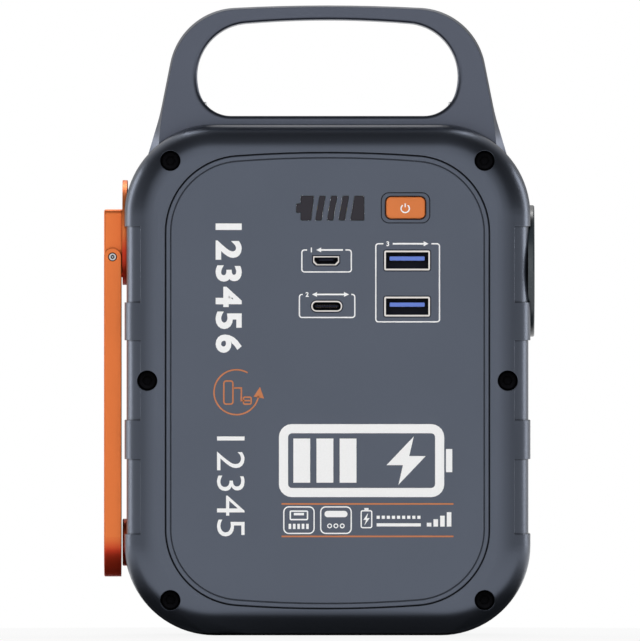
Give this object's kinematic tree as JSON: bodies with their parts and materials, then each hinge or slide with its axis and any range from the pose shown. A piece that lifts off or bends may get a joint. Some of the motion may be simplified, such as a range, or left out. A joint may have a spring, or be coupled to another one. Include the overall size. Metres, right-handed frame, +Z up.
{
  "type": "hand crank phone charger",
  "caption": "Rounded box charger with carry handle, folding side crank and generator, USB sockets, battery gauge, power button, side torch and rear lamp bar.",
  "frame": {"origin": "centre of the flat base, on the floor", "axes": "+Z up towards the handle, -Y out of the front panel, -X out of the crank side"},
  "size_m": [0.123, 0.0609, 0.1799],
  "materials": {
    "rim_grey": "moulded casing, satin",
    "panel_grey": "fine matt texture",
    "handle_grey": "moulded, satin",
    "orange_metal": "orange anodised",
    "orange_plastic": "satin orange",
    "dark_plastic": "dark moulded plastic",
    "soft_rubber": "soft matt rubber",
    "clear": "clear polycarbonate",
    "blue_plastic": "blue socket tongue",
    "bright_metal": "plated sheet",
    "dark_steel": "black oxide",
    "steel": "bright",
    "bronze": "sintered bronze and brass",
    "copper": "enamelled copper",
    "gear_white": "natural acetal",
    "board_green": "circuit board",
    "led_yellow": "phosphor",
    "cell_wrap": "shrink wrap"
  },
  "bodies": {
    "casing": {"battery_cells": "cell_wrap", "battery_tray": "dark_plastic", "board_parts": "dark_plastic", "button_bezel": "panel_grey", "carry_handle": "handle_grey", "casing_screws": "dark_steel", "cell_links": "bright_metal", "crank_bushes": "bronze", "front_cover": "rim_grey", "front_panel": "panel_grey", "gauge_leds": "led_yellow", "gauge_lenses": "dark_plastic", "gauge_light_guide": "clear", "gear_plate_pillars": "steel", "gear_plates": "steel", "generator_can": "bright_metal", "generator_end_cap": "gear_white", "idler_pins": "steel", "inner_screws": "steel", "inner_wires": "soft_rubber", "main_board": "board_green", "micro_usb_shell": "bright_metal", "rear_lamp_board": "board_green", "rear_lamp_leds": "led_yellow", "rear_lamp_lens": "clear", "rear_panel": "panel_grey", "rear_shell": "rim_grey", "rest_boss": "orange_metal", "rest_magnet": "dark_steel", "rotor_bushes": "bronze", "small_tongues": "dark_plastic", "stator_coils": "copper", "stator_core": "dark_steel", "tact_switch": "dark_plastic", "torch_bezel": "dark_plastic", "torch_led": "led_yellow", "torch_led_board": "board_green", "torch_lens": "clear", "torch_reflector": "bright_metal", "usb_a_shells": "bright_metal", "usb_a_tongues": "blue_plastic", "usb_c_shell": "bright_metal"},
    "crank": {"crank_hub": "orange_metal", "crank_shaft": "steel", "drive_gear": "gear_white", "hub_screw": "steel"},
    "arm": {"crank_arm": "orange_metal", "arm_pivot_pin": "steel", "grip_pin": "steel"},
    "grip": {"grip_core": "dark_plastic", "grip_pad": "soft_rubber"},
    "idler_1": {"idler_gear_1": "gear_white"},
    "idler_2": {"idler_gear_2": "gear_white"},
    "rotor": {"rotor_pinion": "bronze", "rotor_axle": "steel", "rotor_magnet": "dark_steel"},
    "button": {"power_button": "orange_plastic", "switch_plunger": "dark_plastic"}
  },
  "joints": [
    {"name": "crank_spin", "type": "hinge", "parent": "casing", "child": "crank", "pos_m": [-0.0583, 0, 0.115], "axis": [1, 0, 0], "continuous": true},
    {"name": "idler_1_spin", "type": "hinge", "parent": "casing", "child": "idler_1", "pos_m": [-0.05, 0.0093, 0.09889], "axis": [1, 0, 0], "continuous": true},
    {"name": "idler_2_spin", "type": "hinge", "parent": "casing", "child": "idler_2", "pos_m": [-0.046, -0.00153, 0.09264], "axis": [1, 0, 0], "continuous": true},
    {"name": "rotor_spin", "type": "hinge", "parent": "casing", "child": "rotor", "pos_m": [-0.043, -0.00852, 0.103], "axis": [1, 0, 0], "continuous": true},
    {"name": "arm_fold", "type": "hinge", "parent": "crank", "child": "arm", "pos_m": [-0.0614, 0, 0.108], "axis": [0, 1, 0], "range_deg": [0, 160]},
    {"name": "grip_fold", "type": "hinge", "parent": "arm", "child": "grip", "pos_m": [-0.0607, 0, 0.0264], "axis": [0, 1, 0], "range_deg": [0, 90]},
    {"name": "button_press", "type": "slide", "parent": "casing", "child": "button", "axis": [0, 1, 0], "range_m": [0, 0.0008], "stiffness_N_per_m": 1500, "springref_m": -0.0004}
  ],
  "couplings": [
    {"joint": "idler_1_spin", "follows": "crank_spin", "ratio": -4.1667},
    {"joint": "idler_2_spin", "follows": "crank_spin", "ratio": 16.667},
    {"joint": "rotor_spin", "follows": "crank_spin", "ratio": -66.667},
    {"joint": "grip_fold", "follows": "arm_fold", "ratio": 0.5625}
  ]
}
